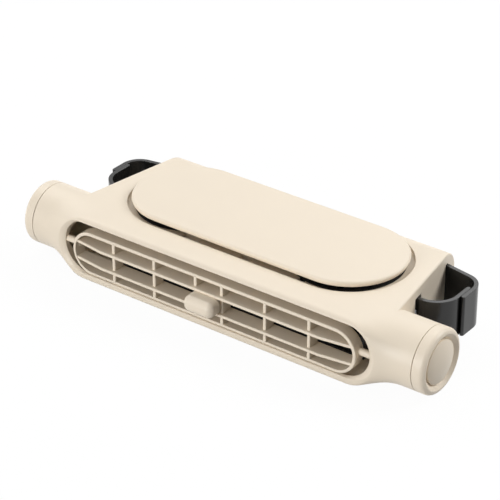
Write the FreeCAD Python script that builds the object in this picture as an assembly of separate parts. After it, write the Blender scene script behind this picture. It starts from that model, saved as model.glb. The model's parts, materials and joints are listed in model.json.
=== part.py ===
import FreeCAD, Part
import math
import os

# Car seat fan that clips between two headrest posts. Millimetres.
# X runs along the tube, Y to the rear, Z up. The origin is on the underside, below the intake's middle.

# body
half_length = 114.0
tube_radius = 15.6
tube_axis_y = -28.0
tube_lift = 2.1
wall = 2.2
cap_length = 6.3
seam_gap = 0.3
rear_margin = 8.3
rear_round = 11.0
side_inset = 1.2
side_taper = math.radians(9.4)
side_round = 0.8

# outlet, its flared mouth, its lip and the necks beside it
outlet_inset = 27.2
outlet_rim = 2.2
mouth_flare = 7.0
mouth_edge = 0.8
mouth_depth = 3.0
mouth_over = 0.4
mouth_bite = 1.06
mouth_steps = 6
throat_start = 1.9
throat_drop = 1.2
lip_width = 3.5
lip_relief = 1.7
lip_round = 2.6
lip_sink = 0.3
neck_inset = 0.5
neck_length = 15.0
neck_station = 1.5
station_lead = 0.3
straight_shares = (0.3, 0.58, 0.78, 0.9, 0.97)
corner_step = 0.9
corner_zone = 8.0
plain_step = 3.4
foot_angle = math.radians(8.0)
sole_depth = 6.0

# intake on top
recess_radius = 30.2
recess_depth = 2.2
recess_margin = 8.9
floor_thickness = 2.5
intake_wall = 2.0
inlet_radius = 26.4
inlet_ledge = 1.2
slit_width = 2.8
slit_y = -25.2
slits = ((-25.2, 9.3), (6.0, 5.8), (37.8, 3.8))
cover_gap = 1.6
cover_lift = 1.0
cover_thickness = 2.6
cover_undercut = 0.9
cover_round = 1.1
rib_width = 2.0
rib_depth = 1.2
rib_angles = (55, 88)
post_radius = 2.0
post_reach_x = 12.0
post_reach_y = 18.0
grille_thickness = 1.6
grille_rim = 2.0
spine_width = 2.4
slot_width = 3.0
slot_pitch = 5.0

# louver
pivot_back = 3.8
pin_radius = 1.7
pin_bite = 1.8
pin_root = 2.0
louver_end_gap = 6.1
louver_rim_gap = 2.2
louver_drop = 1.6
louver_proud = 0.3
louver_depth = 6.6
louver_wall = 1.5
louver_round = 0.5
slat_thickness = 1.5
slat_offset = 4.45
slat_reach = 1.9
slat_end = 18.4
slat_round = 0.45
slat_setback = 0.6
slat_back_gap = 0.2
bar_width = 1.7
bar_first_x = 7.5
bar_pitch = 24.1
bar_round = 0.5
bar_proud = 0.2
bar_back_gap = 0.8

# finger tab
tab_width = 16.5
tab_height = 8.0
tab_reach = 9.5
tab_round = 3.3
tab_back_gap = 1.0

# end caps, button, boards
cap_round = 2.4
cap_rim = 2.5
cap_dish = 2.0
face_thickness = 4.3
spigot_length = 4.5
spigot_wall = 1.4
button_inset = 5.1
button_step = 0.9
button_dome = 2.5
button_flange = 1.1
flange_reach = 0.8
button_travel = 0.8
board_thickness = 1.6
board_gap = 0.3
switch_size = 6.0
switch_height = 3.0
plunger_radius = 1.7
plunger_height = 0.6
stem_gap = 0.2
stem_radius = 1.6
usb_width = 8.9
usb_height = 3.2
usb_length = 7.2
usb_corner = 1.5
usb_wall = 0.4
usb_back = 1.7
tongue_width = 6.6
tongue_thickness = 0.7
tongue_setback = 0.8

# clips
clip_low_z = 8.1
clip_top_margin = 5.1
hook_thickness = 2.0
hook_reach = 22.2
hook_bend = 9.0
hook_root_margin = 8.9
hook_slope = math.radians(9.9)
hook_end_y = 8.5
hook_flange_front = 5.4
hook_flange_rear = 1.8
hook_flange_thickness = 1.6
hook_flange_depth = 2.0
hook_slot_lead = 0.3
hook_slot_short = 2.0
hook_slot_tail = 1.0
gate_thickness = 2.0
gate_gap = 0.2
gate_bend = 11.4
gate_slope = math.radians(4.0)
gate_tip_y = 18.0
gate_pin_inset = 2.0
gate_pin_y = -3.8
gate_pin_radius = 1.0
knuckle_radius = 1.9
spring_margin = 6.2
spring_wire = 0.3
spring_radius = 1.75
spring_pitch = 1.6
spring_side_gap = 0.5
spring_end_gap = 0.4
lug_half_width = 3.2
lug_height = 3.0
lug_gap = 0.4
lug_reach = 1.0
pin_seat = 2.0
gate_slot_reach = 6.0
gate_slot_front = 0.6
gate_slot_gap = 0.3

# bottom cover and screws
cover_plate = 2.0
boss_radius = 3.2
boss_front_y = -16.0
boss_front_inset = 9.6
boss_rear_y = 22.0
boss_rear_inset = 10.8
boss_back_margin = 9.9
screw_radius = 1.25
screw_length = 9.0
pilot_spare = 2.0
screw_head_radius = 2.4
screw_head_height = 1.1
drive_length = 2.8
drive_width = 0.6
drive_depth = 0.6

# blowers
wheel_radius = 22.0
wheel_low_z = 5.6
wheel_gap = 2.0
blade_count = 24
blade_depth = 7.0
blade_thickness = 1.1
blade_lean = 35.0
blade_drop = 0.2
disc_thickness = 1.4
crown_width = 1.6
dome_gap = 0.8
dome_rise = 3.4
hub_radius = 3.5
hub_rise = 2.9
shaft_radius = 1.0
shaft_depth = 6.2
motor_radius = 10.5
motor_height = 12.0
motor_round = 0.8
collar_radius = 3.0
collar_height = 0.8
seat_wall = 1.6
seat_height = 1.8
duct_base = 1.2
duct_wall = 1.4
duct_gap = 3.2
duct_top_gap = 1.0
duct_front_y = -26.0

# clearances, and how far fused forms run into each other
running = 0.05
seated = 0.1
sliding = 0.15
end_play = 0.2
overlap = 0.5

V = FreeCAD.Vector
ORIGIN = V(0, 0, 0)
X_AXIS = V(1, 0, 0)
Y_AXIS = V(0, 1, 0)
Z_AXIS = V(0, 0, 1)

tube_axis_z = tube_radius + tube_lift
top_z = tube_axis_z + tube_radius
tube_bore = tube_radius - wall
seam_x = half_length - cap_length
rear_y = recess_radius + rear_margin
outlet_half_length = half_length - outlet_inset
outlet_half_height = tube_radius - outlet_rim
lip_half_length = outlet_half_length + lip_width
lip_half_height = 0.5 * top_z
lip_depth = tube_radius + lip_relief
lip_low = tube_axis_z + lip_sink
lip_front_y = tube_axis_y - lip_depth
neck_centre_x = lip_half_length - lip_half_height - neck_inset
side_half_width = lip_half_length - side_inset


def side_x(y, inset=0.0):
    """Half width of the tapered box at depth y, moved in by an inset measured square to the wall."""
    return side_half_width - math.tan(side_taper) * (y - tube_axis_y) - inset / math.cos(side_taper)


floor_z = top_z - recess_depth
ring_low_z = floor_z - floor_thickness
ledge_z = floor_z - grille_thickness
intake_half_straight = side_x(0) - recess_margin - recess_radius
wheel_x = intake_half_straight
cover_radius = recess_radius - cover_gap
cover_low_z = top_z + cover_lift
post_points = ((post_reach_x, 0), (-post_reach_x, 0), (0, post_reach_y), (0, -post_reach_y))

pivot_y = lip_front_y + pivot_back
pivot_z = tube_axis_z
louver_z = pivot_z - louver_drop
louver_half_length = outlet_half_length - louver_end_gap
louver_half_height = outlet_half_height - louver_rim_gap
louver_front_y = lip_front_y - louver_proud
louver_back_y = louver_front_y + louver_depth
bar_xs = [side * (bar_first_x + step * bar_pitch) for side in (-1, 1) for step in range(3)]

button_radius = tube_radius - button_inset
dish_x = half_length - cap_dish
button_edge_x = half_length - button_step
face_back_x = half_length - face_thickness
spigot_outer = tube_bore - 2 * running
spigot_inner = spigot_outer - spigot_wall
spigot_x = seam_x - spigot_length

clip_high_z = top_z - clip_top_margin
hook_root_y = rear_y - hook_root_margin
hook_outer_x = side_x(hook_root_y) + hook_reach
gate_pin_x = side_x(gate_pin_y) - gate_pin_inset
spring_low_z = clip_low_z + spring_margin
spring_high_z = clip_high_z - spring_margin

boss_points = [(0.0, rear_y - boss_back_margin)]
for y, inset in ((boss_front_y, boss_front_inset), (boss_rear_y, boss_rear_inset)):
    boss_points += [(side_x(y) - inset, y), (inset - side_x(y), y)]

motor_low_z = cover_plate + duct_base
motor_high_z = motor_low_z + motor_height
duct_radius = wheel_radius + duct_gap
duct_high_z = ring_low_z - duct_top_gap
wheel_high_z = duct_high_z - wheel_gap
dome_inner = motor_radius + dome_gap
dome_top_z = motor_high_z + dome_rise
hub_high_z = dome_top_z + hub_rise


def cylinder(radius, low, high, x=0.0, y=0.0):
    """Upright cylinder between two heights."""
    return Part.makeCylinder(radius, high - low, V(x, y, low), Z_AXIS)


def rod(radius, x0, x1):
    """Cylinder on the tube's axis between two stations."""
    return Part.makeCylinder(radius, x1 - x0, V(x0, tube_axis_y, tube_axis_z), X_AXIS)


def block(x0, x1, y0, y1, z0, z1):
    """Box between two corners."""
    return Part.makeBox(x1 - x0, y1 - y0, z1 - z0, V(x0, y0, z0))


def axis_block(x0, x1, half_y, half_z):
    """Box between two stations, centred on the tube's axis."""
    return block(x0, x1, tube_axis_y - half_y, tube_axis_y + half_y,
                 tube_axis_z - half_z, tube_axis_z + half_z)


def prism(points, z0, z1):
    """Upright prism on a plan outline."""
    corners = [V(x, y, z0) for x, y in points]
    return Part.Face(Part.makePolygon(corners + corners[:1])).extrude(V(0, 0, z1 - z0))


def flat_stadium(half_straight, radius, z0, z1):
    """Upright prism on a stadium centred on the origin."""
    body = block(-half_straight, half_straight, -radius, radius, z0, z1)
    ends = [cylinder(radius, z0, z1, side * half_straight) for side in (-1, 1)]
    return body.fuse(ends).removeSplitter()


def front_stadium(half_length_x, half_height, y0, y1, z):
    """Stadium prism along Y, upright and centred at height z."""
    straight = half_length_x - half_height
    body = block(-straight, straight, y0, y1, z - half_height, z + half_height)
    ends = [
        Part.makeCylinder(half_height, y1 - y0, V(side * straight, y0, z), Y_AXIS)
        for side in (-1, 1)
    ]
    return body.fuse(ends).removeSplitter()


def stadium_wire(half_length_x, half_height, y, z):
    """Upright stadium outline square to Y, centred at height z."""
    straight = half_length_x - half_height
    low = z - half_height
    high = z + half_height
    return Part.Wire([
        Part.makeLine(V(-straight, y, low), V(straight, y, low)),
        Part.Arc(V(straight, y, low), V(half_length_x, y, z), V(straight, y, high)).toShape(),
        Part.makeLine(V(straight, y, high), V(-straight, y, high)),
        Part.Arc(V(-straight, y, high), V(-half_length_x, y, z), V(-straight, y, low)).toShape(),
    ])


def mirrored(shape):
    """Copy on the other side of the middle plane."""
    return shape.mirror(ORIGIN, X_AXIS)


def moved(shape, x):
    """Copy of a shape shifted along X."""
    copy = shape.copy()
    copy.translate(V(x, 0, 0))
    return copy


def edges_where(shape, test):
    """Edges whose sampled middle passes a test."""
    chosen = []
    for edge in shape.Edges:
        middle = edge.valueAt(0.5 * (edge.FirstParameter + edge.LastParameter))
        if test(middle):
            chosen.append(edge)
    return chosen


def box_plan(inset, y_front, y_rear):
    """Plan corners of the tapered box."""
    return [
        (side_x(y_front, inset), y_front),
        (side_x(y_rear, inset), y_rear),
        (-side_x(y_rear, inset), y_rear),
        (-side_x(y_front, inset), y_front),
    ]


def side_profile(inset, low):
    """Side outline of the box with its rounded rear edge, moved in by an inset, along the whole length."""
    rear = rear_y - inset
    high = top_z - inset
    bend = rear_round - inset
    back = bend * (1 - math.sqrt(0.5))
    x = -half_length
    outline = Part.Wire([
        Part.makeLine(V(x, tube_axis_y, low), V(x, rear, low)),
        Part.makeLine(V(x, rear, low), V(x, rear, high - bend)),
        Part.Arc(V(x, rear, high - bend), V(x, rear - back, high - back), V(x, rear - bend, high)).toShape(),
        Part.makeLine(V(x, rear - bend, high), V(x, tube_axis_y, high)),
        Part.makeLine(V(x, tube_axis_y, high), V(x, tube_axis_y, low)),
    ])
    return Part.Face(outline).extrude(V(2 * half_length, 0, 0))


def front_radius(angle):
    """Distance from the tube's axis to the rounded outline of the straight front, square to X."""
    ahead = -math.cos(angle)
    up = abs(math.sin(angle))
    rise = tube_radius if math.sin(angle) > 0 else lip_low
    reach = min(size / share for size, share in ((lip_depth, ahead), (rise, up)) if share > 1e-6)
    centre_ahead = lip_depth - lip_round
    centre_up = rise - lip_round
    if reach * ahead > centre_ahead and reach * up > centre_up:
        along = ahead * centre_ahead + up * centre_up
        reach = along + math.sqrt(along ** 2 - centre_ahead ** 2 - centre_up ** 2 + lip_round ** 2)
    return reach


def skin_point(x, angle):
    """Point of the front skin: outside the lip's end, and at its foot, its outline falls to the tube."""
    full = front_radius(angle)
    height = tube_axis_z + full * math.sin(angle)
    beyond = math.hypot(max(abs(x) - neck_centre_x, 0.0), height - lip_half_height) - lip_half_height
    share = min(max(beyond / neck_length, 0.0), 1.0)
    foot = min((1.5 * math.pi - angle) / foot_angle, 1.0)
    radius = tube_radius + (full - tube_radius) * foot * (1.0 - share) ** 2
    return V(x, tube_axis_y + radius * math.cos(angle), tube_axis_z + radius * math.sin(angle))


def clamped_knots(count, degree):
    """Even knots of a spline that ends on its first and last poles, with their multiplicities."""
    spans = count - degree
    return list(range(spans + 1)), [degree + 1] + [1] * (spans - 1) + [degree + 1]


def front_body():
    """Solid between the front skin and the upright plane through the tube's axis."""
    corners = [math.degrees(math.atan2(rise, -lip_depth)) % 360 for rise in (tube_radius, -lip_low)]
    angles = [90.0]
    while angles[-1] < 270.0 - plain_step:
        near = min(abs(angles[-1] - corner) for corner in corners)
        angles.append(angles[-1] + (corner_step if near < corner_zone else plain_step))
    angles.append(270.0)
    stations = [neck_centre_x * share for share in straight_shares]
    span = seam_x - neck_centre_x
    count = int(span / neck_station)
    for step in range(count + 1):
        stations.append(neck_centre_x + span * (step + station_lead) / (count + station_lead))
    stations = [-x for x in reversed(stations)] + [0.0] + stations
    poles = [[skin_point(x, math.radians(angle)) for angle in angles] for x in stations]
    along = clamped_knots(len(stations), 3)
    around = clamped_knots(len(angles), 3)
    surface = Part.BSplineSurface()
    surface.buildFromPolesMultsKnots(poles, along[1], around[1], along[0], around[0], False, False, 3, 3)
    skin = surface.toShape()
    long_edges = [edge for edge in skin.Edges if edge.BoundBox.XLength > seam_x]
    faces = [skin]
    posts = []
    for side in (-1, 1):
        arc = [edge for edge in skin.Edges if edge.BoundBox.XLength < 1 and edge.BoundBox.XMin * side > 0][0]
        post = Part.makeLine(arc.Vertexes[0].Point, arc.Vertexes[-1].Point)
        posts.append(post)
        faces.append(Part.Face(Part.Wire(Part.__sortEdges__([arc, post]))))
    faces.append(Part.Face(Part.Wire(Part.__sortEdges__(long_edges + posts))))
    shell = Part.makeShell(faces)
    shell.sewShape()
    body = Part.makeSolid(shell)
    if body.Volume < 0:
        body.reverse()
    return body


def bent_band(start, heading, first, bend, turn, last, thickness, z0, z1):
    """Upright band: a straight run, one round bend and a second straight run with a round tip."""
    half = 0.5 * thickness
    ahead = V(math.cos(heading), math.sin(heading), 0)
    left = V(-ahead.y, ahead.x, 0)
    corner = start + ahead * first
    side = 1 if turn > 0 else -1
    centre = corner + left * (side * bend)
    exit_heading = heading + turn
    exit_ahead = V(math.cos(exit_heading), math.sin(exit_heading), 0)
    exit_left = V(-exit_ahead.y, exit_ahead.x, 0)

    def ray(offset, angle_share):
        angle = heading + turn * angle_share
        normal = V(-math.sin(angle), math.cos(angle), 0)
        return centre - normal * (side * bend) + normal * offset

    end = ray(0, 1) + exit_ahead * last
    a0 = start + left * half
    b0 = start - left * half
    a1, a2, a3 = ray(half, 0), ray(half, 0.5), ray(half, 1)
    b1, b2, b3 = ray(-half, 0), ray(-half, 0.5), ray(-half, 1)
    a4 = end + exit_left * half
    b4 = end - exit_left * half
    edges = [
        Part.makeLine(b0, a0),
        Part.makeLine(a0, a1),
        Part.Arc(a1, a2, a3).toShape(),
        Part.makeLine(a3, a4),
        Part.Arc(a4, end + exit_ahead * half, b4).toShape(),
        Part.makeLine(b4, b3),
        Part.Arc(b3, b2, b1).toShape(),
        Part.makeLine(b1, b0),
    ]
    face = Part.Face(Part.Wire(edges))
    face.translate(V(0, 0, z0))
    return face.extrude(V(0, 0, z1 - z0))


def coil_arc(start, tangent, end):
    """Arc that leaves a point along a tangent and reaches another point."""
    chord = end - start
    ahead = chord * (1.0 / chord.Length)
    side = tangent - ahead * tangent.dot(ahead)
    lean = math.atan2(side.Length, tangent.dot(ahead))
    middle = (start + end) * 0.5 + side * (0.5 * chord.Length * math.tan(0.5 * lean) / side.Length)
    return Part.Arc(start, middle, end).toShape()


def coil(radius, pitch, height, wire):
    """Round wire wound as a helix, its path built from two tangent arcs per quarter turn."""
    quarters = int(4 * height / pitch)
    rise = height / quarters
    edges = []
    for step in range(quarters):
        ends = []
        for angle in (0.5 * math.pi * step, 0.5 * math.pi * (step + 1)):
            point = V(radius * math.cos(angle), radius * math.sin(angle), rise * angle / (0.5 * math.pi))
            tangent = V(-radius * math.sin(angle), radius * math.cos(angle), rise / (0.5 * math.pi))
            ends.append((point, tangent * (1.0 / tangent.Length)))
        (start, leave), (end, arrive) = ends
        chord = end - start
        both = chord.dot(leave + arrive)
        open_share = 2 * (1 - leave.dot(arrive))
        arm = (math.sqrt(both ** 2 + open_share * chord.dot(chord)) - both) / open_share
        joint = (start + leave * arm + end - arrive * arm) * 0.5
        middle_tangent = end - arrive * arm - start - leave * arm
        edges.append(coil_arc(start, leave, joint))
        edges.append(coil_arc(joint, middle_tangent * (1.0 / middle_tangent.Length), end))
    first = V(0, radius, rise / (0.5 * math.pi))
    ring = Part.Wire(Part.makeCircle(wire, V(radius, 0, 0), first))
    return Part.Wire(edges).makePipeShell([ring], True, False)


# hook: out through the wall, round the corner and forward
hook_centre_x = hook_outer_x - 0.5 * hook_thickness
hook_turn = -(0.5 * math.pi - hook_slope)
hook_start_x = side_x(hook_root_y, wall) - hook_flange_depth
hook_bend_x = hook_centre_x - hook_bend * (1 - math.sin(hook_slope))
hook_first = (hook_bend_x - hook_start_x) / math.cos(hook_slope)
hook_bend_end_y = hook_root_y - hook_first * math.sin(hook_slope) - hook_bend * math.cos(hook_slope)
hook_band = bent_band(
    V(hook_start_x, hook_root_y, 0), -hook_slope, hook_first, hook_bend, hook_turn,
    hook_bend_end_y - hook_end_y - 0.5 * hook_thickness, hook_thickness, clip_low_z, clip_high_z)
hook_plate = block(hook_start_x - hook_flange_thickness, hook_start_x, hook_root_y - hook_flange_front,
                   hook_root_y + hook_flange_rear, clip_low_z, clip_high_z)
clip_hook = hook_band.fuse(hook_plate).removeSplitter()
hook_slot = bent_band(
    V(hook_start_x + hook_slot_lead, hook_root_y - hook_slot_lead * math.sin(hook_slope), 0), -hook_slope,
    hook_first - hook_slot_short, hook_bend, hook_turn, hook_slot_tail,
    hook_thickness + 2 * sliding, clip_low_z - sliding, clip_high_z + sliding)

# gate: from its pin out through the wall, round and rearward inside the hook's end
gate_centre_x = hook_outer_x - hook_thickness - gate_gap - 0.5 * gate_thickness
gate_turn = 0.5 * math.pi - gate_slope
gate_bend_x = gate_centre_x - gate_bend * (1 - math.sin(gate_slope))
gate_first = (gate_bend_x - gate_pin_x) / math.cos(gate_slope)
gate_bend_end_y = gate_pin_y + gate_first * math.sin(gate_slope) + gate_bend * math.cos(gate_slope)
gate_band = bent_band(
    V(gate_pin_x, gate_pin_y, 0), gate_slope, gate_first, gate_bend, gate_turn,
    gate_tip_y - gate_bend_end_y - 0.5 * gate_thickness, gate_thickness, clip_low_z, clip_high_z)
knuckle = cylinder(knuckle_radius, clip_low_z, clip_high_z, gate_pin_x, gate_pin_y)
spring_room = cylinder(spring_radius + spring_wire + spring_side_gap, spring_low_z - spring_end_gap,
                       spring_high_z + spring_end_gap, gate_pin_x, gate_pin_y)
gate_bore = cylinder(gate_pin_radius + running, 0, top_z, gate_pin_x, gate_pin_y)
clip_gate = gate_band.fuse(knuckle).removeSplitter().cut(spring_room).cut(gate_bore)

lug_low = clip_low_z - lug_gap - lug_height
lug_high = clip_high_z + lug_gap
pin_high_z = lug_high + pin_seat
gate_pin = cylinder(gate_pin_radius, lug_low + end_play, pin_high_z, gate_pin_x, gate_pin_y)
gate_spring = coil(spring_radius, spring_pitch, spring_high_z - spring_low_z - 2 * spring_wire, spring_wire)
gate_spring.translate(V(gate_pin_x, gate_pin_y, spring_low_z + spring_wire))

# housing shell: tapered box with a rounded rear edge, rear half of the tube, front skin with lip and necks
box = prism(box_plan(0, tube_axis_y, rear_y), 0, top_z).common(side_profile(0, 0))
box_edges = edges_where(
    box, lambda p: abs(abs(p.x) - side_x(p.y)) < 0.01 and p.z > 1 and p.y > tube_axis_y + 1)
box = box.makeFillet(side_round, box_edges)
rear_tube = rod(tube_radius, -seam_x, seam_x).common(
    block(-half_length, half_length, tube_axis_y, 0, 0, 2 * top_z))
sole = block(-neck_centre_x, neck_centre_x, tube_axis_y - sole_depth, tube_axis_y, 0, tube_lift + wall)
below = block(-half_length, half_length, 2 * lip_front_y, 0, -top_z, 0)
outer = front_body().cut(below).fuse([box, rear_tube, sole])

bore = rod(tube_bore, -seam_x, seam_x)
chamber = prism(box_plan(wall, tube_axis_y, rear_y - wall), -1, top_z - wall).common(side_profile(wall, -1))
outlet = front_stadium(outlet_half_length, outlet_half_height, lip_front_y - 1, tube_axis_y, tube_axis_z)
throat = front_stadium(outlet_half_length, outlet_half_height, lip_front_y + throat_start, tube_axis_y,
                       tube_axis_z - throat_drop)
sections = []
for step in range(mouth_steps + 1):
    angle = 0.5 * math.pi * step / mouth_steps
    share = 1.0 - mouth_bite * math.sin(angle)
    sections.append(stadium_wire(
        outlet_half_length + share * mouth_flare, outlet_half_height + share * mouth_edge,
        lip_front_y + mouth_depth * (1.0 - math.cos(angle)) - mouth_over, tube_axis_z))
mouth = Part.makeLoft(sections, True)
shell = outer.cut(mouth).cut([bore, chamber, outlet, throat])

intake_floor = flat_stadium(intake_half_straight, recess_radius + intake_wall, ring_low_z, top_z)
shell = shell.fuse(intake_floor.common(outer))
bosses = [cylinder(boss_radius, cover_plate, top_z - wall + overlap, x, y) for x, y in boss_points]
lugs = []
for low, high in ((lug_low, lug_low + lug_height), (lug_high, top_z - overlap)):
    lug = block(gate_pin_x - lug_half_width, gate_pin_x + lug_reach, gate_pin_y - lug_half_width,
                gate_pin_y + lug_half_width, low, high)
    lugs += [lug, mirrored(lug)]
shell = shell.fuse(bosses + lugs).removeSplitter()

gate_slot = block(gate_pin_x - lug_half_width, gate_pin_x + gate_slot_reach,
                  gate_pin_y - knuckle_radius - gate_slot_front, gate_pin_y + 2 * knuckle_radius,
                  clip_low_z - gate_slot_gap, clip_high_z + gate_slot_gap)
pin_hole = cylinder(gate_pin_radius + running, lug_low - 1, pin_high_z + end_play, gate_pin_x, gate_pin_y)
pilot_high_z = screw_length + pilot_spare
pilots = [cylinder(screw_radius + running, cover_plate - 1, pilot_high_z, x, y) for x, y in boss_points]
pivot_half = outlet_half_length + pin_bite + end_play
pivot_hole = Part.makeCylinder(
    pin_radius + running, 2 * pivot_half, V(-pivot_half, pivot_y, pivot_z), X_AXIS)
recess = flat_stadium(intake_half_straight, recess_radius, floor_z, top_z + 1)
inlet_seat = cylinder(inlet_radius, ledge_z, top_z + 1, wheel_x)
inlet = cylinder(inlet_radius - inlet_ledge, ring_low_z - 1, top_z + 1, wheel_x)
air_slits = []
for x, length in slits:
    slit = block(x - 0.5 * length, x + 0.5 * length, slit_y - 0.5 * slit_width, slit_y + 0.5 * slit_width,
                 ring_low_z - 1, top_z + 1)
    rear_slit = slit.copy()
    rear_slit.rotate(ORIGIN, Z_AXIS, 180)
    air_slits += [slit, rear_slit]
sockets = [cylinder(post_radius + running, ledge_z, top_z, x, y) for x, y in post_points]
shell = shell.cut(
    [recess, inlet_seat, mirrored(inlet_seat), inlet, mirrored(inlet), pivot_hole] + air_slits + sockets
    + [gate_slot, mirrored(gate_slot), hook_slot, mirrored(hook_slot), pin_hole, mirrored(pin_hole)]
    + pilots)

# bottom cover and its screws
cover = prism(box_plan(wall + sliding, tube_axis_y + sliding, rear_y - wall - sliding), 0, cover_plate)
heads = [cylinder(screw_head_radius + sliding, -1, screw_head_height, x, y) for x, y in boss_points]
holes = [cylinder(screw_radius + sliding, -1, cover_plate + 1, x, y) for x, y in boss_points]
cover = cover.cut(heads + holes)
screws = []
for x, y in boss_points:
    head = cylinder(screw_head_radius, seated, screw_head_height, x, y)
    arm = 0.5 * drive_length
    half = 0.5 * drive_width
    drive = block(x - arm, x + arm, y - half, y + half, 0, drive_depth)
    drive = drive.fuse(block(x - half, x + half, y - arm, y + arm, 0, drive_depth))
    shank = cylinder(screw_radius, screw_head_height, screw_length, x, y)
    screws.append(head.cut(drive).fuse(shank).removeSplitter())

# intake grilles and the raised cover
grille = cylinder(inlet_radius - sliding, ledge_z, floor_z)
field = cylinder(inlet_radius - grille_rim, ledge_z - 1, floor_z + 1)
slot_count = int(inlet_radius / slot_pitch)
slots = [
    block(step * slot_pitch - 0.5 * slot_width, step * slot_pitch + 0.5 * slot_width,
          -inlet_radius, inlet_radius, ledge_z - 1, floor_z + 1).common(field)
    for step in range(-slot_count, slot_count + 1)
]
spine = block(0.5 * grille_rim - inlet_radius, inlet_radius - 0.5 * grille_rim,
              -0.5 * spine_width, 0.5 * spine_width, ledge_z, floor_z)
grille = grille.cut(slots).fuse(spine).removeSplitter()

cover_high_z = cover_low_z + cover_thickness
cover_foot = cover_radius - cover_undercut
outlines = []
for radius, z in ((cover_foot, cover_low_z), (cover_radius, cover_high_z)):
    outline = stadium_wire(intake_half_straight + radius, radius, -z, 0)
    outline.rotate(ORIGIN, X_AXIS, -90)
    outlines.append(outline)
plate = Part.makeLoft(outlines, True, True)
plate = plate.makeFillet(cover_round, edges_where(plate, lambda p: abs(p.z - cover_high_z) < 0.01))
rib_end_x = intake_half_straight + cover_foot - seated
end_rib = block(rib_end_x - rib_depth, rib_end_x, -0.5 * rib_width, 0.5 * rib_width, floor_z, cover_low_z)
ribs = []
for angle in rib_angles:
    rib = end_rib.copy()
    rib.rotate(V(intake_half_straight, 0, 0), Z_AXIS, angle)
    ribs += [rib, mirrored(rib)]
posts = [cylinder(post_radius, ledge_z, cover_low_z, x, y) for x, y in post_points]
plate = plate.fuse(ribs + posts).removeSplitter()

# louver
rim = front_stadium(louver_half_length, louver_half_height, louver_front_y, louver_back_y, louver_z)
rim = rim.makeFillet(louver_round, edges_where(rim, lambda p: True))
field_x = louver_half_length - louver_wall
field_z = louver_half_height - louver_wall
inner = front_stadium(field_x, field_z, louver_front_y - 1, louver_back_y + 1, louver_z)
fill = front_stadium(field_x + overlap, field_z + overlap, louver_front_y - 2 * slat_reach,
                     louver_back_y, louver_z)
slat_front_y = louver_front_y - slat_reach
slat_back_y = louver_back_y - slat_back_gap
slat_straight = louver_half_length - slat_end
slat_plan = [
    (-slat_straight, slat_front_y), (slat_straight, slat_front_y),
    (louver_half_length, louver_front_y + slat_setback), (louver_half_length, slat_back_y),
    (-louver_half_length, slat_back_y), (-louver_half_length, louver_front_y + slat_setback),
]
slats = []
for z in (louver_z - slat_offset, louver_z + slat_offset):
    slat = prism(slat_plan, z - 0.5 * slat_thickness, z + 0.5 * slat_thickness)
    slat = slat.makeFillet(
        slat_round, edges_where(slat, lambda p: p.y < louver_front_y and abs(p.z - z) > 0.1))
    slats.append(slat.common(fill))
bars = []
for x in bar_xs:
    bar = block(x - 0.5 * bar_width, x + 0.5 * bar_width,
                louver_front_y - bar_proud, louver_back_y - bar_back_gap,
                louver_z - louver_half_height, louver_z + louver_half_height)
    bar = bar.makeFillet(
        bar_round, edges_where(bar, lambda p: p.y < louver_front_y and abs(p.z - louver_z) < 0.1))
    bars.append(bar.common(fill))
pin_start_x = louver_half_length - pin_root
pivot_pin = Part.makeCylinder(
    pin_radius, outlet_half_length + pin_bite - pin_start_x, V(pin_start_x, pivot_y, pivot_z), X_AXIS)
louver = rim.cut(inner).fuse(slats + bars + [pivot_pin, mirrored(pivot_pin)]).removeSplitter()

# finger tab: a rounded head in front of the slats on a neck between slats and bars
neck_x = bar_first_x - 0.5 * bar_width - seated
neck_z = slat_offset - 0.5 * slat_thickness - seated
tab_head = block(-0.5 * tab_width, 0.5 * tab_width, lip_front_y - tab_reach, slat_front_y - seated,
                 louver_z - 0.5 * tab_height, louver_z + 0.5 * tab_height)
tab_head = tab_head.makeFillet(tab_round, edges_where(tab_head, lambda p: p.y < slat_front_y - 2 * seated))
tab_neck = block(-neck_x, neck_x, slat_front_y - 2 * seated, louver_back_y - tab_back_gap,
                 louver_z - neck_z, louver_z + neck_z)
tab = tab_head.fuse(tab_neck).removeSplitter()

# end caps: rounded rim around a dished face
cap = rod(tube_radius, seam_x + seam_gap, half_length)
cap = cap.makeFillet(cap_round, edges_where(cap, lambda p: abs(p.x - half_length) < 0.01))
cap = cap.fuse(rod(spigot_outer, spigot_x, seam_x + seam_gap)).removeSplitter()
dish = Part.makeCone(
    button_radius + sliding, tube_radius - cap_rim, cap_dish, V(dish_x, tube_axis_y, tube_axis_z), X_AXIS)
cap = cap.cut([rod(spigot_inner, spigot_x - 1, face_back_x), dish])
cap_right = cap.cut(rod(button_radius + running, face_back_x - 1, half_length + 1))
usb_half_y = 0.5 * usb_width + sliding
usb_half_z = 0.5 * usb_height + sliding
usb_room = axis_block(-half_length, 1 - face_back_x, usb_half_y, usb_half_z)
usb_room = usb_room.makeFillet(
    usb_corner, edges_where(usb_room, lambda p: abs(abs(p.y - tube_axis_y) - usb_half_y) < 0.01
                            and abs(abs(p.z - tube_axis_z) - usb_half_z) < 0.01))
cap_left = mirrored(cap).cut(usb_room)

# power button: domed head, retaining flange and stem
dome_top_x = button_edge_x + button_dome
dome_sphere = (button_radius ** 2 + button_dome ** 2) / (2 * button_dome)
head_x = face_back_x - seated
head = rod(button_radius, head_x, dome_top_x)
head = head.common(Part.makeSphere(dome_sphere, V(dome_top_x - dome_sphere, tube_axis_y, tube_axis_z)))
flange = rod(button_radius + flange_reach, head_x - button_flange, head_x)
plunger_x = spigot_x + switch_height + plunger_height
stem = rod(stem_radius, plunger_x + button_travel + stem_gap, head_x - button_flange)
button = head.fuse([flange, stem]).removeSplitter()

board = rod(spigot_outer - board_gap, spigot_x - board_thickness, spigot_x)
switch = axis_block(spigot_x, spigot_x + switch_height, 0.5 * switch_size, 0.5 * switch_size)
switch = switch.fuse(rod(plunger_radius, spigot_x + switch_height, plunger_x))

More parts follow.
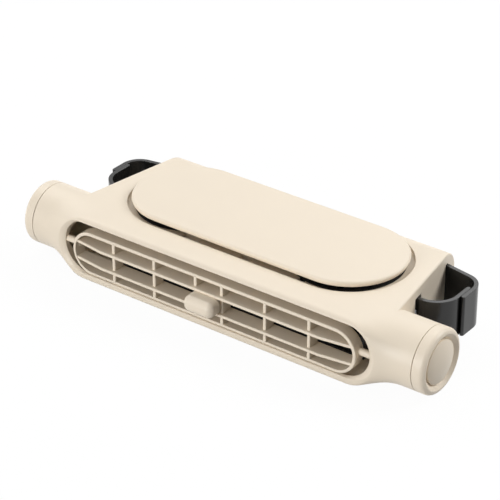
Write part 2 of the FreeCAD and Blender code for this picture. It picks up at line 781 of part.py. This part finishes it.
usb_x = seated - dish_x
usb_back_x = usb_x + usb_length - usb_back
usb = axis_block(usb_x, usb_x + usb_length, 0.5 * usb_width, 0.5 * usb_height)
usb = usb.makeFillet(usb_corner, edges_where(usb, lambda p: abs(p.x - usb_x - 0.5 * usb_length) < 0.01))
usb_mouth = axis_block(usb_x - 1, usb_back_x, 0.5 * usb_width - usb_wall, 0.5 * usb_height - usb_wall)
tongue = axis_block(usb_x + tongue_setback, usb_back_x + overlap,
                    0.5 * tongue_width, 0.5 * tongue_thickness)
usb = usb.cut(usb_mouth).fuse(tongue).removeSplitter()
inlet_board_x = usb_x + usb_length
inlet_board = rod(spigot_inner - end_play, inlet_board_x, inlet_board_x + board_thickness)

# blowers
dome = cylinder(dome_inner + disc_thickness, wheel_low_z, dome_top_z)
back = cylinder(wheel_radius, wheel_low_z, wheel_low_z + disc_thickness)
hub = cylinder(hub_radius, dome_top_z - disc_thickness, hub_high_z)
crown = cylinder(wheel_radius, wheel_high_z - disc_thickness, wheel_high_z).cut(
    cylinder(wheel_radius - crown_width, wheel_high_z - 2 * disc_thickness, wheel_high_z + 1))
blade = block(0, blade_depth, -0.5 * blade_thickness, 0.5 * blade_thickness,
              wheel_low_z + overlap, wheel_high_z - blade_drop)
blade.rotate(ORIGIN, Z_AXIS, blade_lean)
blade.translate(V(wheel_radius - blade_depth, 0, 0))
blades = []
for step in range(blade_count):
    turned = blade.copy()
    turned.rotate(ORIGIN, Z_AXIS, 360.0 * step / blade_count)
    blades.append(turned)
rotor_limit = cylinder(wheel_radius, wheel_low_z, top_z)
wheel = dome.fuse([back, hub, crown] + blades).common(rotor_limit)
wheel = wheel.cut([
    cylinder(dome_inner, wheel_low_z - 1, dome_top_z - disc_thickness),
    cylinder(shaft_radius, dome_top_z - disc_thickness - 1, hub_high_z + 1),
]).removeSplitter()
shaft_low_z = motor_high_z - shaft_depth
motor = cylinder(motor_radius, motor_low_z, motor_high_z)
motor = motor.makeFillet(motor_round, edges_where(motor, lambda p: abs(p.z - motor_high_z) < 0.01))
collar = cylinder(collar_radius, motor_high_z - overlap, motor_high_z + collar_height)
motor = motor.fuse(collar).removeSplitter()
motor = motor.cut(cylinder(shaft_radius + running, shaft_low_z, motor_high_z + 2))
shaft = cylinder(shaft_radius, shaft_low_z + seated, hub_high_z)

duct_rear_y = duct_radius + duct_wall
duct_half_x = wheel_x + duct_rear_y
duct = block(-duct_half_x, duct_half_x, duct_front_y, 0, cover_plate, motor_low_z)
for x in (wheel_x, -wheel_x):
    ring = cylinder(duct_rear_y, motor_low_z, duct_high_z, x).cut(
        cylinder(duct_radius, motor_low_z - 1, duct_high_z + 1, x))
    ring = ring.cut(block(x - 2 * duct_rear_y, x + 2 * duct_rear_y, -2 * duct_rear_y, 0, 0, top_z))
    sides = [
        block(x + side * (duct_radius + 0.5 * duct_wall) - 0.5 * duct_wall,
              x + side * (duct_radius + 0.5 * duct_wall) + 0.5 * duct_wall,
              duct_front_y, 0, motor_low_z - overlap, duct_high_z)
        for side in (-1, 1)
    ]
    floor = cylinder(duct_rear_y, cover_plate, motor_low_z, x)
    seat = cylinder(motor_radius + seat_wall, motor_low_z, motor_low_z + seat_height, x).cut(
        cylinder(motor_radius + running, motor_low_z - 1, motor_low_z + 2 * seat_height, x))
    duct = duct.fuse([ring, floor, seat] + sides)
duct = duct.removeSplitter()

parts = {
    "housing_shell": shell,
    "bottom_cover": cover,
    "cover_screws": Part.makeCompound(screws),
    "intake_grilles": Part.makeCompound([moved(grille, wheel_x), moved(grille, -wheel_x)]),
    "intake_cover": plate,
    "louver_frame": louver,
    "louver_tab": tab,
    "end_cap_right": cap_right,
    "end_cap_left": cap_left,
    "power_button": button,
    "control_board": board,
    "power_switch": switch,
    "usb_inlet": usb,
    "inlet_board": inlet_board,
    "clip_hook_right": clip_hook,
    "clip_hook_left": mirrored(clip_hook),
    "clip_gate_right": clip_gate,
    "clip_gate_left": mirrored(clip_gate),
    "gate_pins": Part.makeCompound([gate_pin, mirrored(gate_pin)]),
    "gate_spring_right": gate_spring,
    "gate_spring_left": mirrored(gate_spring),
    "blower_wheel_right": moved(wheel, wheel_x),
    "blower_wheel_left": mirrored(moved(wheel, wheel_x)),
    "motor_right": moved(motor, wheel_x),
    "motor_left": moved(motor, -wheel_x),
    "motor_shaft_right": moved(shaft, wheel_x),
    "motor_shaft_left": moved(shaft, -wheel_x),
    "scroll_duct": duct,
}

os.makedirs("parts", exist_ok=True)
for name, shape in parts.items():
    shape.exportStep("parts/" + name + ".step")
    size = shape.BoundBox
    print(name, shape.isValid(), len(shape.Solids), round(shape.Volume, 1),
          [round(v, 2) for v in (size.XMin, size.XMax, size.YMin, size.YMax, size.ZMin, size.ZMax)])
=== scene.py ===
import json

import bpy
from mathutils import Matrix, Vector


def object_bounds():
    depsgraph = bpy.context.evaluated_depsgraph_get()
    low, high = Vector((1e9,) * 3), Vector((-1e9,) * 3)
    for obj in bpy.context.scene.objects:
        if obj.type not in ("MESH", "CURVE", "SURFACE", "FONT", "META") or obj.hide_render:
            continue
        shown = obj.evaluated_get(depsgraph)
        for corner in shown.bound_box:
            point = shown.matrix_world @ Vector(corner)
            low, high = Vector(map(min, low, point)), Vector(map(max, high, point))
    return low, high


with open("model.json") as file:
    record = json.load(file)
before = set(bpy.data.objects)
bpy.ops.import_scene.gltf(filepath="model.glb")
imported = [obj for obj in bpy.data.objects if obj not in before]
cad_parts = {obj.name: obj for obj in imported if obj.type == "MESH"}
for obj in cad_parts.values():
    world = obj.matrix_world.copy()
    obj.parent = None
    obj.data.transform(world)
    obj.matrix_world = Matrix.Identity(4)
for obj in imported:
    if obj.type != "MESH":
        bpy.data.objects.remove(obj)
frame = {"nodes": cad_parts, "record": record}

cad_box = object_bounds()
nodes = frame["nodes"]

# camera of the photograph, in metres and millimetres of lens
CAMERA_AT = Vector((0.52194, -0.71148, 0.52923))
CAMERA_TARGET = Vector((-0.00378, -0.0090, 0.02443))
CAMERA_LENS = 157.3
CAMERA_SENSOR = 36.0

# finishes by material slot: linear colour, roughness, spread of the mottling, fineness of the grain, and in
# metres the grain's depth and the radius of the softened edges
FINISHES = {
    "cream_plastic": dict(
        colour=(0.86, 0.755, 0.61), roughness=0.42, spread=0.012, grain=2600.0, depth=4e-5, edge=4e-4),
    "black_plastic": dict(
        colour=(0.010, 0.010, 0.010), roughness=0.24, spread=0.10, grain=2200.0, depth=3e-5, edge=4e-4),
    "dark_plastic": dict(
        colour=(0.010, 0.010, 0.010), roughness=0.55, spread=0.10, grain=1800.0, depth=5e-5, edge=2e-4),
    "steel": dict(
        colour=(0.60, 0.60, 0.61), roughness=0.30, spread=0.03, grain=1200.0, depth=2e-5, edge=1e-4,
        metallic=1.0),
    "board": dict(
        colour=(0.02, 0.12, 0.05), roughness=0.40, spread=0.08, grain=900.0, depth=3e-5, edge=1e-4),
}

# what all finishes share
MOTTLE_SCALE = 55.0
MOTTLE_DETAIL = 3.0
GRAIN_DETAIL = 2.0
GRAIN_STRENGTH = 0.25
GLOSS_SPREAD = 0.05
EDGE_SAMPLES = 6

# light: strength of the surroundings at the left and at the right, then each lamp's place, measured from
# the object's middle, and its power
SKY_LEFT = 0.60
SKY_RIGHT = 0.02
LAMP_WIDTH = 0.8
LAMPS = {
    "upper_left": (Vector((-0.9, 0.3, 1.0)), 3.8),
    "upper_rear": (Vector((-0.2, 0.9, 1.0)), 4.0),
    "upper_right": (Vector((1.0, 0.9, 1.0)), 16.0),
    "front": (Vector((-0.2, -1.4, 0.12)), 17.0),
}
WHITE = (1.0, 1.0, 1.0)

# floor: half its width, its gap below the object, its own colour and roughness, its glow where it is seen,
# and the share of its shading that shows
FLOOR_HALF = 3.0
FLOOR_GAP = 0.0002
FLOOR_COLOUR = (0.4, 0.4, 0.4)
FLOOR_ROUGHNESS = 0.9
FLOOR_GLOW = 1.07
FLOOR_SHADOW = 0.1


def shade(colour, share):
    """A colour scaled by a share, opaque."""
    return tuple(share * c for c in colour) + (1.0,)


def finish(name, colour, roughness, spread, grain, depth, edge, metallic=0.0):
    """Moulded or drawn surface: broad faint mottling, a fine grain, and edges with a small radius."""
    material = bpy.data.materials.new(name)
    material.use_nodes = True
    tree = material.node_tree
    shader = tree.nodes["Principled BSDF"]
    shader.inputs["Metallic"].default_value = metallic
    place = tree.nodes.new("ShaderNodeTexCoord")
    broad = tree.nodes.new("ShaderNodeTexNoise")
    broad.inputs["Scale"].default_value = MOTTLE_SCALE
    broad.inputs["Detail"].default_value = MOTTLE_DETAIL
    fine = tree.nodes.new("ShaderNodeTexNoise")
    fine.inputs["Scale"].default_value = grain
    fine.inputs["Detail"].default_value = GRAIN_DETAIL
    tint = tree.nodes.new("ShaderNodeMix")
    tint.data_type = "RGBA"
    tint.inputs[6].default_value = shade(colour, 1.0 - spread)
    tint.inputs[7].default_value = shade(colour, 1.0 + spread)
    gloss = tree.nodes.new("ShaderNodeMapRange")
    gloss.inputs["To Min"].default_value = roughness - GLOSS_SPREAD
    gloss.inputs["To Max"].default_value = roughness + GLOSS_SPREAD
    soft_edge = tree.nodes.new("ShaderNodeBevel")
    soft_edge.samples = EDGE_SAMPLES
    soft_edge.inputs["Radius"].default_value = edge
    bump = tree.nodes.new("ShaderNodeBump")
    bump.inputs["Strength"].default_value = GRAIN_STRENGTH
    bump.inputs["Distance"].default_value = depth
    link = tree.links.new
    link(place.outputs["Object"], broad.inputs["Vector"])
    link(place.outputs["Object"], fine.inputs["Vector"])
    link(broad.outputs["Fac"], tint.inputs["Factor"])
    link(tint.outputs[2], shader.inputs["Base Color"])
    link(fine.outputs["Fac"], gloss.inputs["Value"])
    link(gloss.outputs["Result"], shader.inputs["Roughness"])
    link(fine.outputs["Fac"], bump.inputs["Height"])
    link(soft_edge.outputs["Normal"], bump.inputs["Normal"])
    link(bump.outputs["Normal"], shader.inputs["Normal"])
    return material


def look_at(thing, target):
    """Turns a camera or lamp so that it faces a point."""
    thing.rotation_mode = "QUATERNION"
    thing.rotation_quaternion = (target - thing.location).to_track_quat("-Z", "Y")


def softbox(name, place, target, size, power):
    """Square soft lamp facing a point."""
    lamp = bpy.data.lights.new(name, "AREA")
    lamp.size = size
    lamp.energy = power
    thing = bpy.data.objects.new(name, lamp)
    thing.location = place
    look_at(thing, target)
    bpy.context.scene.collection.objects.link(thing)


def seen_directly(tree):
    """Output that is 1 for rays from the camera, a reflection or a refraction, and 0 for other rays."""
    path = tree.nodes.new("ShaderNodeLightPath")
    total = path.outputs["Is Camera Ray"]
    for other in ("Is Glossy Ray", "Is Transmission Ray"):
        either = tree.nodes.new("ShaderNodeMath")
        either.operation = "MAXIMUM"
        tree.links.new(total, either.inputs[0])
        tree.links.new(path.outputs[other], either.inputs[1])
        total = either.outputs["Value"]
    return total


def white_world(left, right):
    """Soft surrounding light that falls off from the left to the right, seen as plain white."""
    world = bpy.data.worlds.new("studio")
    bpy.context.scene.world = world
    world.use_nodes = True
    tree = world.node_tree
    tree.nodes.clear()
    place = tree.nodes.new("ShaderNodeTexCoord")
    split = tree.nodes.new("ShaderNodeSeparateXYZ")
    fall = tree.nodes.new("ShaderNodeMapRange")
    fall.inputs["From Min"].default_value = -1.0
    fall.inputs["From Max"].default_value = 1.0
    fall.inputs["To Min"].default_value = left
    fall.inputs["To Max"].default_value = right
    light = tree.nodes.new("ShaderNodeBackground")
    light.inputs["Color"].default_value = shade(WHITE, 1.0)
    white = tree.nodes.new("ShaderNodeBackground")
    white.inputs["Color"].default_value = shade(WHITE, 1.0)
    white.inputs["Strength"].default_value = 1.0
    mix = tree.nodes.new("ShaderNodeMixShader")
    out = tree.nodes.new("ShaderNodeOutputWorld")
    link = tree.links.new
    link(place.outputs["Generated"], split.inputs["Vector"])
    link(split.outputs["X"], fall.inputs["Value"])
    link(fall.outputs["Result"], light.inputs["Strength"])
    link(seen_directly(tree), mix.inputs["Fac"])
    link(light.outputs["Background"], mix.inputs[1])
    link(white.outputs["Background"], mix.inputs[2])
    link(mix.outputs["Shader"], out.inputs["Surface"])


def pale_floor(half, level, colour, roughness, strength, shadow):
    """Flat floor seen as white, with a share of the object's soft shadow."""
    mesh = bpy.data.meshes.new("floor")
    corners = [(-half, -half, level), (half, -half, level), (half, half, level), (-half, half, level)]
    mesh.from_pydata(corners, [], [(0, 1, 2, 3)])
    thing = bpy.data.objects.new("floor", mesh)
    bpy.context.scene.collection.objects.link(thing)
    material = bpy.data.materials.new("floor_white")
    material.use_nodes = True
    tree = material.node_tree
    shader = tree.nodes["Principled BSDF"]
    shader.inputs["Base Color"].default_value = shade(colour, 1.0)
    shader.inputs["Roughness"].default_value = roughness
    shader.inputs["Specular IOR Level"].default_value = 0.0
    glow = tree.nodes.new("ShaderNodeEmission")
    glow.inputs["Strength"].default_value = strength
    share = tree.nodes.new("ShaderNodeMath")
    share.operation = "MULTIPLY"
    share.inputs[1].default_value = 1.0 - shadow
    mix = tree.nodes.new("ShaderNodeMixShader")
    out = tree.nodes["Material Output"]
    link = tree.links.new
    link(seen_directly(tree), share.inputs[0])
    link(share.outputs["Value"], mix.inputs["Fac"])
    link(shader.outputs["BSDF"], mix.inputs[1])
    link(glow.outputs["Emission"], mix.inputs[2])
    link(mix.outputs["Shader"], out.inputs["Surface"])
    thing.data.materials.append(material)


# every piece takes the finish of its material slot
finishes = {name: finish(name, **look) for name, look in FINISHES.items()}
for subpart in frame["record"]["subparts"]:
    node = nodes[subpart["node"]]
    node.data.materials.clear()
    node.data.materials.append(finishes[subpart["material_slot"]])

white_world(SKY_LEFT, SKY_RIGHT)
pale_floor(FLOOR_HALF, cad_box[0].z - FLOOR_GAP, FLOOR_COLOUR, FLOOR_ROUGHNESS, FLOOR_GLOW, FLOOR_SHADOW)
middle = 0.5 * (cad_box[0] + cad_box[1])
for name, (offset, power) in LAMPS.items():
    softbox(name, middle + offset, middle, LAMP_WIDTH, power)

camera = bpy.data.objects.new("camera", bpy.data.cameras.new("camera"))
camera.location = CAMERA_AT
look_at(camera, CAMERA_TARGET)
camera.data.lens = CAMERA_LENS
camera.data.sensor_width = CAMERA_SENSOR
bpy.context.scene.collection.objects.link(camera)
bpy.context.scene.camera = camera
bpy.context.scene.view_settings.view_transform = "Standard"
